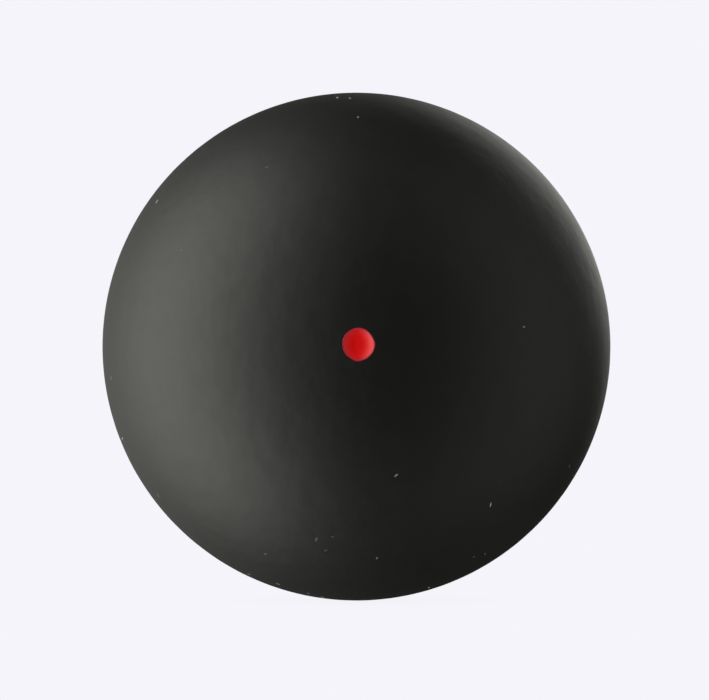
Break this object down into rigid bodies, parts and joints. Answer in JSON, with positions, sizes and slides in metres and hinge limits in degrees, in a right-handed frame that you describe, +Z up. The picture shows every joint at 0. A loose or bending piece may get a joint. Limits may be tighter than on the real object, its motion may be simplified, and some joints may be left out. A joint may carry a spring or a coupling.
{
  "type": "squash ball",
  "caption": "Small hollow ball of matt black rubber, two moulded half shells cemented at a fine seam, with a red painted dot sunk in a shallow dish.",
  "frame": {"origin": "the ball's centre", "axes": "the coloured dot is centred on -Y, the seam lies in the XZ plane, +Z is up"},
  "size_m": [0.04, 0.04, 0.04],
  "materials": {
    "rubber": "matte",
    "cement": "matte",
    "dot_paint": "gloss"
  },
  "bodies": {
    "root": {"front_half_shell": "rubber", "rear_half_shell": "rubber", "seam_cement": "cement", "red_dot": "dot_paint"}
  },
  "joints": []
}
